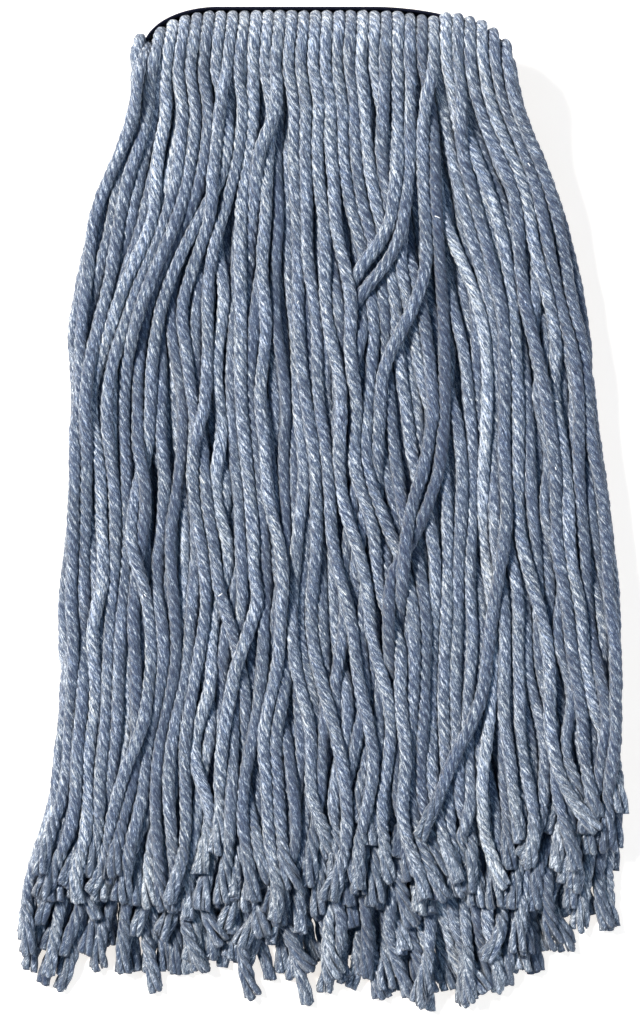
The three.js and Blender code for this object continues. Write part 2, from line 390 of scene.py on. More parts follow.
    def ripple(self, rng):
        """Small rises and dips, so that yarns which cross pass over or under one another."""
        return sum(size * wave for size, wave in self.waves(rng, RIPPLES))

    def waves(self, rng, kinds):
        """For each kind of wave, its size and a wave along every yarn with a length of that yarn's own."""
        count = len(self.share)
        for size, shortest, longest in kinds:
            length = rng.uniform(shortest, longest, (count, 1))
            phase = rng.uniform(0, 2 * math.pi, (count, 1))
            yield size, np.sin(2 * math.pi * self.run / length + phase)


# ---- Settling the yarns: lengths kept, no yarn in another, every yarn down on what is under it ----

SETTLE_STEPS = 150
LATE_SHARE = 0.8
PAIRING_INTERVAL = 5
PASSES, LATE_PASSES = 2, 3

# How far a free point sinks in a step, and how much of its kink and of its stray past the sides is
# taken out in a pass.
SINK, LATE_SINK_SHARE = 0.34, 0.3
STRAIGHTENING = 0.2
SIDE_PULL = 0.8

# Centres of touching yarns: closer where they are pressed together at the fold. CELL is the reach
# within which pairs are looked for.
CONTACT_AT_FOLD, CONTACT_GAIN = 3.85, 1.15
CELL = 6.9
FLOOR_SQUASH = 0.25

# Where one yarn lies over another, it is pushed up rather than aside: ORDER is the upward bias, GRIP
# the share left of the push aside, and RANK_RANGE the height difference that counts as fully over.
GRIP = 0.3
ORDER = 3.2
RANK_RANGE = 2.5
CROWD_SHARE = 0.6

# How far yarns may stray past the sides of their lock, and past the mop's left side near the lower ends.
SIDE_LEEWAY = 4.0
TOP_LEEWAY = 300
END_FLARE, END_FLARE_LENGTH = 7.5, 70
SIDE_MARGIN = 0.5


def close_pairs(points, owner, reach):
    """Index pairs of points on different yarns that lie within reach, found by sorting them into cells."""
    cell = np.floor(points / reach).astype(np.int64)
    cell -= cell.min(0) - 1
    size = cell.max(0) + 2
    key = (cell[:, 0] * size[1] + cell[:, 1]) * size[2] + cell[:, 2]
    order = np.argsort(key, kind="stable")
    ordered = key[order]
    firsts, seconds = [], []
    for dx in (0, 1):
        for dy in (-1, 0, 1):
            for dz in (-1, 0, 1):
                if (dx, dy, dz) < (0, 0, 0):
                    continue
                target = key + (dx * size[1] + dy) * size[2] + dz
                low = np.searchsorted(ordered, target, "left")
                number = np.searchsorted(ordered, target, "right") - low
                first = np.repeat(np.arange(len(key)), number)
                within = np.arange(len(first)) - np.repeat(np.cumsum(number) - number, number)
                second = order[np.repeat(low, number) + within]
                keep = owner[first] != owner[second]
                if (dx, dy, dz) == (0, 0, 0):
                    keep &= first < second
                firsts.append(first[keep])
                seconds.append(second[keep])
    first, second = np.concatenate(firsts), np.concatenate(seconds)
    near = ((points[first] - points[second]) ** 2).sum(1) < reach**2
    return first[near], second[near]


def push_apart(points, free, pairs, contact, rank):
    """Parts yarns that touch. A yarn laid above another is mostly lifted over it, not slid beside it."""
    first, second = pairs
    gap = points[first] - points[second]
    distance = np.maximum(np.sqrt((gap**2).sum(1)), 1e-6)
    wanted = (contact[first] + contact[second]) / 2
    touching = distance < wanted
    first, second, gap, distance = first[touching], second[touching], gap[touching], distance[touching]
    above = np.clip((rank[first] - rank[second]) / RANK_RANGE, -1, 1)
    gap[:, 2] += ORDER * above
    gap[:, :2] *= (1 - (1 - GRIP) * np.abs(above))[:, None]
    gap /= np.maximum(np.sqrt((gap**2).sum(1)), 1e-6)[:, None]
    push = 0.5 * (wanted[touching] - distance)[:, None] * gap
    total = len(points)
    number = np.bincount(first, minlength=total) + np.bincount(second, minlength=total)
    relief = free / np.maximum(CROWD_SHARE * number, 1)
    for axis in range(3):
        move = np.bincount(first, push[:, axis], total) - np.bincount(second, push[:, axis], total)
        points[:, axis] += move * relief


def hold_lengths(points, free, step):
    """Brings the spacing of each yarn's points back to its own, on even and odd spans in turn."""
    for start in (0, 1):
        near, far = points[:, start:-1:2], points[:, start + 1::2]
        span = far - near
        distance = np.maximum(np.sqrt((span**2).sum(-1, keepdims=True)), 1e-6)
        weight_near, weight_far = free[:, start:-1:2, None], free[:, start + 1::2, None]
        pull = span * (1 - step[:, None, None] / distance) / np.maximum(weight_near + weight_far, 1e-6)
        near += weight_near * pull
        far -= weight_far * pull


def kink(points):
    """How sharply each inner point is bent out of the line of its neighbours."""
    return points[:, :-2] + points[:, 2:] - 2 * points[:, 1:-1]


def settle(yarns):
    """Lets every free point down in small steps, and after each parts, straightens and spaces the yarns."""
    points = yarns.points
    count, along, _ = points.shape
    free = np.where(yarns.fixed, 0.0, 1.0)
    flat_free = free.ravel()
    owner = np.repeat(np.arange(count), along)
    rank = points[..., 2].ravel().copy()
    own_bend = kink(points)
    own_bend[..., 2] = np.where(free[:, 1:-1] > 0, 0, own_bend[..., 2])
    contact = (CONTACT_AT_FOLD + CONTACT_GAIN * smooth(yarns.run, 40, 80)).ravel()
    floor = YARN_RADIUS - FLOOR_SQUASH
    lock_start = (yarns.lock / LOCKS)[:, None]
    lock_finish = (yarns.lock / LOCKS + 1 / LOCKS)[:, None]
    leeway = np.where(yarns.top, TOP_LEEWAY, SIDE_LEEWAY)[:, None]
    past_end = yarns.run - yarns.length[:, None]
    flare = END_FLARE * smooth(past_end, -END_FLARE_LENGTH, 0) * ~yarns.upper[:, None]
    for step in range(SETTLE_STEPS):
        flat = points.reshape(-1, 3)
        if step % PAIRING_INTERVAL == 0:
            pairs = close_pairs(flat, owner, CELL)
        late = step > SETTLE_STEPS * LATE_SHARE
        points[..., 2] -= free * SINK * (LATE_SINK_SHARE if late else 1)
        for _ in range(LATE_PASSES if late else PASSES):
            push_apart(flat, flat_free, pairs, contact, rank)
            points[:, 1:-1] += free[:, 1:-1, None] * STRAIGHTENING * (kink(points) - own_bend)
            hold_lengths(points, free, yarns.step)
            distance = FOLD_Y - points[..., 1]
            low = spread(lock_start, distance) + SIDE_SHIFT - leeway
            high = spread(lock_finish, distance) + SIDE_SHIFT + leeway
            low = np.maximum(low, spread(0, distance) + SIDE_SHIFT + SIDE_MARGIN - flare)
            high = np.minimum(high, spread(1, distance) + SIDE_SHIFT - SIDE_MARGIN)
            inside = np.clip(points[..., 0], low, high)
            points[..., 0] += free * SIDE_PULL * (inside - points[..., 0])
            points[..., 2] = np.where(free > 0, np.maximum(points[..., 2], floor), points[..., 2])


# ---- From points to twisted yarn ----

PLIES = 4
TWIST_PITCH = 16.5
LOBE_DEPTH = 0.2

# At the cut end the plies part over FRAY_LENGTH, losing the share UNTWISTED of their twist, and their
# middles stay within MOST_OUT of the yarn's. Each ply's own section is BUNDLES of fibres.
FRAY_LENGTH = 20.0
FRAY_OVERLAP = 3
FRAY_RINGS = 14
BUNDLES, BUNDLE_DEPTH = 3, 0.17
UNTWISTED = 0.45
MOST_OUT = 3.4
FLARE, FLARE_RANGE = 2.4, (0.5, 1.4)
CUT_TILT = 1.1

# Plies and the loose fibres between them: (sides, distance from the yarn's middle, stray round it).
PLY = (12, 0.275 * YARN_DIAMETER, 0.12)
FIBRE = (3, 0.3 * YARN_DIAMETER, 0.5)
PLY_RADIUS = 0.22 * YARN_DIAMETER
LOOSE_FIBRES, FIBRE_RADII = 14, (0.2, 0.42)

# The fibres' texture lags the plies by GRAIN_LAG in each pitch, so that the fibres lie nearly along the
# yarn, as spun ones do. Near the fold the yarn is painted paler: painted light on the top of the loop.
GRAIN_LAG = 1.1 * math.pi
FOLD_PAINTED_LIGHT = 1.1

# Nothing reaches lower than this, just above the floor.
FLATTENED = 0.05

# White lint lies at least LINT_FROM_END points from either end of its yarn.
LINT_RINGS, LINT_SIDES, LINT_RADIUS = 5, 4, 0.2
LINT_FROM_END = 60
# How much painted shade darkens the last ring of a cut end; its cap gets the full painted shade.
CUT_PAINTED_SHADE = 0.7
UP = np.array([0, 0, 1.0])


def resample(points, number):
    """Smooth curves through each row of points, at evenly spaced places."""
    last = points.shape[1] - 1
    at = np.linspace(0, last, number)
    index = np.minimum(at.astype(int), last - 1)
    t = (at - index)[None, :, None]
    nearby = [points[:, np.clip(index + offset, 0, last)] for offset in (-1, 0, 1, 2)]
    return curve(*nearby, t)


def unit(v):
    """Vectors of length 1 with the same directions."""
    return v / np.maximum(np.sqrt((v**2).sum(-1, keepdims=True)), 1e-9)


def carried_frames(lines):
    """Tangent, normal and side along each line, the normal carried along without turning about it."""
    tangent = unit(np.gradient(lines, axis=1))
    normal = np.zeros_like(lines)
    normal[:, 0] = (1, 0, 0)
    for i in range(1, lines.shape[1]):
        carried = normal[:, i - 1]
        along = (carried * tangent[:, i]).sum(-1, keepdims=True)
        normal[:, i] = unit(carried - along * tangent[:, i])
    return tangent, normal, np.cross(tangent, normal)


def ring_angles(sides):
    """Evenly spaced angles round a ring."""
    return np.linspace(0, 2 * math.pi, sides, endpoint=False)


def spokes(angle, first, second):
    """Unit vectors at these angles round each point of a line, between two directions across it."""
    return np.cos(angle)[..., None] * first[:, None, :] + np.sin(angle)[..., None] * second[:, None, :]


def lobed(angle, depth):
    """A section of four plies pressed together: round lobes and sharp valleys."""
    return 1 - depth * (1 - np.abs(np.cos(PLIES / 2 * angle)) ** 0.75)


class Shape:
    """Vertices, faces and the two attributes that the yarn's material reads, gathered for one mesh."""

    def __init__(self):
        self.points, self.faces, self.grain, self.tone, self.total = [], [], [], [], 0

    def tube(self, rings, grain, tone, cut=0.0):
        """rings is (along, around, 3). Both ends are closed with a fan to the ring's middle."""
        along, around, _ = rings.shape
        rings = np.maximum(rings, (-np.inf, -np.inf, FLATTENED))
        first = self.total
        number = first + np.arange(along * around).reshape(along, around)
        a, b = number[:-1], number[1:]
        quads = np.stack([a, b, np.roll(b, -1, 1), np.roll(a, -1, 1)], -1).reshape(-1, 4)
        caps = np.array([first + along * around, first + along * around + 1])
        start = np.stack([number[0], np.roll(number[0], -1), np.full(around, caps[0])], -1)
        finish = np.stack([np.roll(number[-1], -1), number[-1], np.full(around, caps[1])], -1)
        ends = np.stack([rings[0].mean(0), rings[-1].mean(0)])
        self.points += [rings.reshape(-1, 3), ends]
        self.faces += [quads, start, finish]
        self.grain += [grain.reshape(-1, 3), np.stack([grain[0].mean(0), grain[-1].mean(0)])]
        # The end cap takes the cut value, which sets its painted shade.
        tips = np.stack([tone[0].mean(0), tone[-1].mean(0)])
        tips[1, 2] = cut
        self.tone += [tone.reshape(-1, 3), tips]
        self.total += along * around + 2

    def build(self, name, material):
        points = np.concatenate(self.points) * MM
        mesh = bpy.data.meshes.new(name)
        mesh.vertices.add(len(points))
        mesh.vertices.foreach_set("co", points.astype(np.float32).ravel())
        sizes = np.concatenate([np.full(len(f), f.shape[1]) for f in self.faces])
        corners = np.concatenate([f.ravel() for f in self.faces])
        mesh.loops.add(len(corners))
        mesh.loops.foreach_set("vertex_index", corners.astype(np.int32))
        mesh.polygons.add(len(sizes))
        mesh.polygons.foreach_set("loop_start", (np.cumsum(sizes) - sizes).astype(np.int32))
        mesh.update(calc_edges=True)
        mesh.shade_smooth()
        for label, values in (("grain", self.grain), ("tone", self.tone)):
            attribute = mesh.attributes.new(label, "FLOAT_VECTOR", "POINT")
            attribute.data.foreach_set("vector", np.concatenate(values).astype(np.float32).ravel())
        mesh.materials.append(material)
        return placed(name, mesh)


class Spun:
    """The yarns' centre lines and frames at one fineness, ready to be made into meshes."""

    def __init__(self, yarns, rows, rings, sides, rng):
        self.lines = resample(yarns.points[rows], rings)
        self.tangent, self.normal, self.side = carried_frames(self.lines)
        self.run = np.linspace(0, 1, rings)[None, :] * yarns.length[rows][:, None]
        self.length = yarns.length[rows]
        self.sides = sides
        self.phase = rng.uniform(0, 2 * math.pi, len(rows))
        self.pitch = TWIST_PITCH * rng.uniform(0.93, 1.08, len(rows))
        self.shade = rng.normal(0, 1, len(rows))
        self.thick = np.clip(rng.normal(1, 0.04, len(rows)), 0.92, 1.08)
        self.seed = rng.uniform(0, 900, len(rows))

    def spin(self, i, shape, rng):
        """Adds yarn i: its twisted length, then its four plies parting at the cut end."""
        turn = self.phase[i] - 2 * math.pi * self.run[i] / self.pitch[i]
        body = self.run[i] <= self.length[i] - FRAY_LENGTH
        angle = ring_angles(self.sides)
        run = self.run[i][body][:, None]
        # How deep in a valley between plies each side lies. It sets where the plies' size varies, and where
        # painted shade darkens the valleys.
        valley_shade = 1 - np.abs(np.cos(PLIES / 2 * angle))
        uneven = 1 + 0.03 * np.sin(run / 5.3 + self.seed[i]) + 0.02 * np.sin(run / 1.9 + 2 * self.seed[i])
        pressed_at_fold = 0.07 * (1 - smooth(run, 35, 70))
        narrowing_to_fray = 0.2 * smooth(run, run[-1] - 7, run[-1])
        girth = uneven - pressed_at_fold - narrowing_to_fray
        ply = np.floor((angle / (2 * math.pi) * PLIES + 0.5) % PLIES)[None, :]
        ply_size = 1 + 0.035 * np.sin(run / 6.3 + 2.1 * ply + self.seed[i]) * (1 - valley_shade[None, :])
        radius = YARN_RADIUS * self.thick[i] * girth * ply_size * lobed(angle, LOBE_DEPTH)[None, :]
        spin = angle[None, :] + turn[body][:, None]
        rings = self.place(i, body, radius, spin)
        self.add(i, shape, rings, angle, run, valley_shade)
        self.fray(i, shape, turn, rng)

    def place(self, i, part, radius, spin):
        """Rings about the part of yarn i's line, from each point's radius and angle."""
        spoke = spokes(spin, self.normal[i][part], self.side[i][part])
        return self.lines[i][part][:, None, :] + radius[..., None] * spoke

    def add(self, i, shape, rings, angle, run, valley_shade, cut=0.0):
        """Adds rings to the shape, with the texture's coordinates and tones, which carry painted light and
        shade. A cut end gets painted shade.
        """
        turned = angle[None, :] - GRAIN_LAG * run / self.pitch[i]
        grain = np.stack([YARN_RADIUS * np.cos(turned), YARN_RADIUS * np.sin(turned),
                          np.broadcast_to(run + self.seed[i], turned.shape)], -1)
        tone = np.zeros(rings.shape)
        # The first tone value is a random tone for each yarn, plus painted light that makes the yarn paler
        # near the fold.
        tone[..., 0] = self.shade[i] + FOLD_PAINTED_LIGHT * (1 - smooth(run, 40, 105))
        # The second tone value marks the valleys, where painted shade darkens the yarn.
        tone[..., 1] = valley_shade
        # The third tone value marks a cut end's last ring for painted shade.
        tone[-1, :, 2] = cut * CUT_PAINTED_SHADE
        shape.tube(rings, grain, tone, cut)

    def add_lint(self, i, shape, rng):
        """A short white fibre caught on top of the yarn."""
        at = rng.integers(LINT_FROM_END, len(self.lines[i]) - LINT_FROM_END)
        run = np.linspace(-1, 1, LINT_RINGS)[:, None]
        angle = ring_angles(LINT_SIDES)[None, :]
        lean = rng.normal(0, 1, 2)
        top = np.array([0, 0, YARN_RADIUS + 0.15])
        across = unit(self.tangent[i][at] * lean[0] + np.cross(self.tangent[i][at], UP) * lean[1])
        line = self.lines[i][at] + top + run * across * rng.uniform(0.6, 1.3)
        line[:, 2] -= 0.3 * run[:, 0] ** 2
        side = np.cross(across, UP)
        rings = line[:, None, :] + LINT_RADIUS * spokes(angle, side[None, :], UP[None, :])
        white = np.broadcast_to(np.array([0, 0, -1.0]), rings.shape)
        shape.tube(rings, white, white, -1.0)

    def fray(self, i, shape, turn, rng):
        """The last stretch of yarn i: its plies part, and loose fibres stand between them."""
        start = self.length[i] - FRAY_LENGTH - FRAY_OVERLAP
        run = np.linspace(start, self.length[i], FRAY_RINGS)

        def along(values):
            return np.stack([np.interp(run, self.run[i], values[i][:, k]) for k in range(3)], -1)

        centre, normal, side, tangent = map(along, (self.lines, self.normal, self.side, self.tangent))
        loosened = smooth(run, start + 2, self.length[i] + 3)
        twist = -2 * math.pi * (run - start) / self.pitch[i] * (1 - UNTWISTED * loosened)
        twist = twist + np.interp(start, self.run[i], turn)
        flare = FLARE * rng.uniform() ** 1.6
        tilt = rng.normal(0, CUT_TILT, 2)
        strands = [(PLY, ply * 2 * math.pi / PLIES, PLY_RADIUS) for ply in range(PLIES)]
        strands += [(FIBRE, rng.uniform(0, 2 * math.pi), rng.uniform(*FIBRE_RADII))
                    for _ in range(LOOSE_FIBRES)]
        for kind, place, radius in strands:
            sides, out, stray = kind
            angle = ring_angles(sides)
            place = place + twist + rng.normal(0, stray) * loosened
            out = np.minimum(out + flare * rng.uniform(*FLARE_RANGE) * loosened**1.4, MOST_OUT)
            radial = np.cos(place)[:, None] * normal + np.sin(place)[:, None] * side
            line = centre + out[:, None] * radial
            longer = rng.uniform(-0.4, 0.8) + tilt @ (math.cos(place[-1]), math.sin(place[-1]))
            line = line + tangent * (0.5 * longer * loosened**2)[:, None]
            line[:, 2] = np.maximum(line[:, 2], 1.2 * radius)
            width = radius * (0.8 + 0.3 * smooth(run, start, start + 3) + 0.2 * loosened**2)
            if kind is FIBRE:
                width = width * smooth(loosened, 0.0, 0.4)
            width = width[:, None] * np.ones_like(angle)
            if kind is PLY:
                turn_of_bundles = BUNDLES * angle + 0.5 * (run - start)[:, None] + place[0]
                width = width * (1 + BUNDLE_DEPTH * np.cos(turn_of_bundles) * loosened[:, None] ** 0.5)
            across = unit(np.cross(tangent, radial))
            rings = line[:, None, :] + (
                (width * np.cos(angle))[..., None] * radial[:, None, :]
                + (width * np.sin(angle))[..., None] * across[:, None, :])
            # Painted shade on the side of each frayed strand that faces the yarn's middle.
            inner_side_shade = 0.15 + 0.5 * (np.cos(angle) < -0.2)
            self.add(i, shape, rings, angle * 0.5 + place[-1], run[:, None], inner_side_shade, 1.0)


# ---- Materials ----

class Nodes:
    """Shorthand for building one material's node tree."""

    def __init__(self, name):
        self.material = bpy.data.materials.new(name)
        self.material.use_nodes = True
        self.tree = self.material.node_tree
        self.shader = self.tree.nodes["Principled BSDF"]

    def feed(self, socket, value):
        """Links another node's output to the socket, or sets the socket's own value."""
        if isinstance(value, bpy.types.NodeSocket):
            self.tree.links.new(value, socket)
        else:
            socket.default_value = value

    def drive(self, name, value):
        self.feed(self.shader.inputs[name], value)

    def new(self, kind, inputs=None, **settings):
        node = self.tree.nodes.new("ShaderNode" + kind)
        for key, value in settings.items():
            setattr(node, key, value)
        for key, value in (inputs or {}).items():
            self.feed(node.inputs[key], value)
        return node

    def attribute(self, name):
        return self.new("Attribute", attribute_name=name).outputs["Vector"]

    def split(self, vector):
        return self.new("SeparateXYZ", {0: vector}).outputs

    def math(self, operation, a, b=0.0):
        return self.new("Math", {0: a, 1: b}, operation=operation).outputs[0]

    def scaled(self, vector, scale):
        return self.new("Mapping", {"Vector": vector, "Scale": scale}).outputs[0]

    def noise(self, vector, scale, detail=2.0, roughness=0.5):
        inputs = {"Vector": vector, "Scale": scale, "Detail": detail, "Roughness": roughness}
        return self.new("TexNoise", inputs).outputs["Fac"]

    def ramp(self, value, *stops):
        ramp = self.new("ValToRGB", {"Fac": value})
        elements = ramp.color_ramp.elements
        while len(elements) < len(stops):
            elements.new(0.5)
        for element, (place, colour) in zip(elements, stops):
            element.position = place
            element.color = (*colour, 1)
        return ramp.outputs["Color"]

    def blend(self, kind, factor, a, b):
        node = self.new("Mix", data_type="RGBA", blend_type=kind)
        for name, value in (("Factor", factor), ("A", a), ("B", b)):
            self.feed(next(s for s in node.inputs if s.name == name and s.enabled), value)
        return next(s for s in node.outputs if s.enabled)

    def between(self, low, high, value):
        """A value from 0 to 1, moved to between low and high."""
        return self.new("MapRange", {0: value, 3: low, 4: high}).outputs[0]

    def bump(self, height, strength, distance):
        inputs = {"Height": height, "Strength": strength, "Distance": distance}
        self.drive("Normal", self.new("Bump", inputs).outputs[0])


# The yarn's fibres, from the darkest blue to undyed: where each lies on the noise's scale, and its colour.
MARL = ((0.415, (0.017, 0.032, 0.074)), (0.49, (0.070, 0.100, 0.158)),
        (0.553, (0.184, 0.228, 0.297)), (0.61, (0.72, 0.765, 0.825)))
WHITE = (1, 1, 1)
# Painted shade that darkens the yarn deep in the valleys between its plies.
VALLEY_PAINTED_SHADE = (0.33, 0.43, 0.62)
# Painted shade for the cut faces at the yarn's ends.
CUT_FACE_PAINTED_SHADE = (0.26, 0.31, 0.41)
LINT = (0.85, 0.86, 0.88, 1)


def yarn_material():
    """Marled yarn: pale and blue fibres along each ply, with painted shade in the valleys, on the inner
    sides of frayed plies and on cut ends, and painted light near the fold.
    """
    n = Nodes("yarn")
    grain = n.attribute("grain")
    shade, valley_shade, cut = n.split(n.attribute("tone"))
    streak = n.noise(n.scaled(grain, (1.3, 1.3, 0.28)), 1.0, 3.0, 0.65)
    fibre = n.noise(n.scaled(grain, (5.2, 5.2, 0.9)), 1.0, 2.0, 0.65)
    patch = n.noise(n.scaled(grain, (0.12, 0.12, 0.035)), 1.0, 2.0)
    mixed = n.math("ADD", n.math("MULTIPLY", streak, 0.5), n.math("MULTIPLY", fibre, 0.5))
    # The first tone value is each yarn's random tone plus the painted light near the fold.
    mixed = n.math("ADD", mixed, n.math("MULTIPLY", shade, 0.022))
    colour = n.ramp(mixed, *MARL)
    patches = n.ramp(patch, (0.35, (0.90, 0.95, 1.06)), (0.65, (1.06, 1.03, 0.97)))
    colour = n.blend("MULTIPLY", 0.6, colour, patches)
    # Painted shade in the valleys between the plies.
    colour = n.blend("MULTIPLY", 1.0, colour, n.ramp(valley_shade, (0.25, WHITE), (1.0, VALLEY_PAINTED_SHADE)))
    # Painted shade on the cut ends.
    colour = n.blend("MULTIPLY", 1.0, colour, n.ramp(cut, (0.3, WHITE), (1.0, CUT_FACE_PAINTED_SHADE)))
    colour = n.blend("MIX", n.math("LESS_THAN", cut, -0.5), colour, LINT)
    n.drive("Base Color", colour)
    n.drive("Roughness", n.between(0.78, 0.98, fibre))
    n.bump(n.math("ADD", streak, fibre), 0.8, 0.0007)
    n.drive("Sheen Weight", 0.25)
    n.drive("Sheen Roughness", 0.6)
    n.drive("Specular IOR Level", 0.2)
    return n.material


def floor_material():
    """Near-white paper that glows a little, so that shadows on it stay faint."""
    n = Nodes("floor")
    grit = n.noise(n.new("NewGeometry").outputs["Position"], 60.0, 3.0)
    n.drive("Base Color", n.ramp(grit, (0.3, (0.50, 0.50, 0.505)), (0.7, (0.53, 0.53, 0.53))))
    n.drive("Roughness", 0.9)
    n.drive("Emission Color", (1.0, 0.94, 0.87, 1))
    n.drive("Emission Strength", 0.78)
    return n.material


def band_material():
    """Close-woven navy tape: fine warp ribs crossed by the weft."""
    n = Nodes("headband_tape")
    grain = n.attribute("grain")
    across, along, _ = n.split(grain)
    warp = n.math("SINE", n.math("MULTIPLY", across, 7.0))
    weft = n.math("SINE", n.math("MULTIPLY", along, 8.5))
    weave = n.math("MULTIPLY", warp, weft)
    fuzz = n.noise(grain, 3.0, 3.0)
    height = n.math("ADD", n.math("MULTIPLY", weave, 0.25), fuzz)
    n.drive("Base Color", n.ramp(height, (0.3, (0.004, 0.005, 0.016)), (0.75, (0.016, 0.018, 0.045))))
    n.drive("Roughness", n.between(0.75, 0.95, fuzz))
    n.bump(height, 0.6, 0.0003)
    n.drive("Specular IOR Level", 0.2)
    return n.material


def thread_material():
    """Navy sewing thread with a slanting twist."""
    n = Nodes("seam_thread")
    grain = n.attribute("grain")
    turned, along, _ = n.split(grain)
    slant = n.math("ADD", n.math("MULTIPLY", along, 6.0), n.math("MULTIPLY", turned, 2.0))
    twist = n.math("SINE", slant)
    fuzz = n.math("ADD", n.math("MULTIPLY", twist, 0.3), n.noise(grain, 2.0))
    n.drive("Base Color", n.ramp(fuzz, (0.2, (0.012, 0.013, 0.034)), (0.8, (0.05, 0.055, 0.10))))
    n.drive("Roughness", n.between(0.5, 0.7, fuzz))
    n.bump(twist, 0.5, 0.0002)
    return n.material


# ---- Stage ----

# The stage, in metres.
FLOOR_RADIUS, SWEEP, WALL_TOP = 8.0, 1.2, 3.4
FLOOR_SIDES, SWEEP_STEPS = 96, 9
WORLD_COLOUR, WORLD_STRENGTH = (0.46, 0.84, 1.36, 1), 0.23

# Each lamp's name, size, watts, place and colour.
LAMPS = (
    ("key", 0.4, 89, (-1.03, 0.62, 1.66), (1.0, 0.955, 0.88)),
    ("fill", 1.6, 5, (1.2, -0.6, 1.8), (0.6, 0.85, 1.0)),
    ("front", 1.2, 10, (0.6, -2.0, 0.6), (0.8, 0.92, 1.0)),
)


def add_floor():
    """A round floor that sweeps up into a low pale wall, far outside the lamps."""
    profile = [(FLOOR_RADIUS - SWEEP * math.cos(a), SWEEP - SWEEP * math.sin(a))
               for a in np.linspace(math.pi / 2, 0, SWEEP_STEPS)] + [(FLOOR_RADIUS, WALL_TOP)]
    points = [(r * math.cos(a), r * math.sin(a), z) for r, z in profile for a in ring_angles(FLOOR_SIDES)]
    faces = [tuple(range(FLOOR_SIDES))]
    for row in range(len(profile) - 1):
        low, high = row * FLOOR_SIDES, (row + 1) * FLOOR_SIDES
        for k in range(FLOOR_SIDES):
            after = (k + 1) % FLOOR_SIDES
            faces.append((low + k, low + after, high + after, high + k))
    mesh = bpy.data.meshes.new("floor")
    mesh.from_pydata(points, [], faces)
    mesh.materials.append(floor_material())
    placed("floor", mesh)


def add_lamp(name, size, watts, place, colour):
    """A round lamp that faces the mop."""
    lamp = placed(name, bpy.data.lights.new(name, "AREA"))
    lamp.data.shape = "DISK"
    lamp.data.size = size
    lamp.data.energy = watts
    lamp.data.color = colour
    lamp.location = place
    lamp.rotation_euler = (-Vector(place)).to_track_quat("-Z", "Y").to_euler()


def add_light():
    world = bpy.data.worlds.new("studio")
    bpy.context.scene.world = world
    world.use_nodes = True
    background = world.node_tree.nodes["Background"]
    background.inputs["Color"].default_value = WORLD_COLOUR
    background.inputs["Strength"].default_value = WORLD_STRENGTH
    for lamp in LAMPS:
        add_lamp(*lamp)


# ---- Pieces ----

# Where a yarn starts to bend with its joint, behind the fold, and over how far it bends.
TOP_BEND_START, OTHER_BEND_START, BEND_LENGTH = 7, 16, 38

TOP_RINGS, TOP_SIDES = 301, 24
PATH_INTERVAL = 3
OTHER_RINGS, OTHER_SIDES = 250, 20
LINT_CHANCE = 0.3


def bend_across(piece, upper, lock, x, start_behind):
    """Bakes the piece's place into its mesh."""
    drop, _ = corner(np.array(x - SIDE_SHIFT))
    if upper:
        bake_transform(piece)
    else:
        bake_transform(piece)


def top_strands(yarns, rng, material):
    """The yarns of the top layer, one piece each."""
    rows = np.flatnonzero(yarns.top)
    spun = Spun(yarns, rows, TOP_RINGS, TOP_SIDES, rng)
    locks_begun = set()
    for i, row in enumerate(rows):
        shape = Shape()
        spun.spin(i, shape, rng)
        if rng.uniform() < LINT_CHANCE:
            spun.add_lint(i, shape, rng)
        piece = shape.build(f"top_strand_{yarns.column[row] + 1:02d}", material)
        lock = yarns.lock[row]
        bend_across(piece, True, lock, yarns.points[row, 0, 0], TOP_BEND_START)
        path = spun.lines[i][::PATH_INTERVAL] * MM
        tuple(path[0])
        if lock not in locks_begun:
            locks_begun.add(lock)
            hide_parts(f"top_yarn_{lock + 1}a", f"top_yarn_{lock + 1}b", f"fold_yarn_{lock + 1}")


# The CAD nodes that each group of the other yarns stands for, with {} for the lock's number. The top
# layer's own pieces stand for the outer ones of the upper half.
STANDS_FOR = {
    ("top", "outer"): (),
    ("top", "inner"): ("top_inner_yarn_{}", "fold_inner_yarn_{}"),
    ("bottom", "outer"): ("bottom_yarn_{}a", "bottom_yarn_{}b"),
    ("bottom", "inner"): ("bottom_inner_yarn_{}",),
}
GROUP_LAYERS = {"outer": (0, 1), "inner": (2, 3)}


def other_strands(yarns, rng, material):
    """The yarns under the top layer, in groups by half, lock and pair of layers."""
    rows = np.flatnonzero(~yarns.top)
    spun = Spun(yarns, rows, OTHER_RINGS, OTHER_SIDES, rng)
    for half in ("top", "bottom"):
        upper = half == "top"
        for lock in range(LOCKS):
            for group, layers in GROUP_LAYERS.items():
                members = [i for i, row in enumerate(rows) if yarns.upper[row] == upper
                           and yarns.lock[row] == lock and yarns.layer[row] in layers]
                shape = Shape()
                for i in members:
                    spun.spin(i, shape, rng)
                piece = shape.build(f"{half}_{group}_strands_{lock + 1}", material)
                middle = float(np.mean([yarns.points[rows[i], 0, 0] for i in members]))
                bend_across(piece, upper, lock, middle, OTHER_BEND_START)
                nodes = [node.format(lock + 1) for node in STANDS_FOR[half, group]]
                if nodes:
                    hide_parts(*nodes)


# ---- Headband and its rows of stitching ----

# Heights of the rows of stitches from the band's middle, and their depths in from its outer face.
SEAM_ROWS = (-8.5, -3.5, 3.5, 8.5)
BOBBIN_ROWS = (-5.6, -3.2, 3.2, 5.6)
SEAM_DEPTH = 0.33
BOBBIN_DEPTH = YARN_OFFSET + STACK + 0.55

STITCH_PITCH, STITCH_GAP = 3.0, 0.4
STITCH_RADIUS, STITCH_DIVE = 0.3, 0.35
STITCH_RINGS, STITCH_SIDES = 9, 8
SEAM_END_CLEARANCE, BOBBIN_END_CLEARANCE = 1.8, 9.5

# The tape's outer face is measured along to BAND_LINE_END (design x), just past its right end.
BAND_LINE_STEPS = 3000
BAND_LINE_END = 74

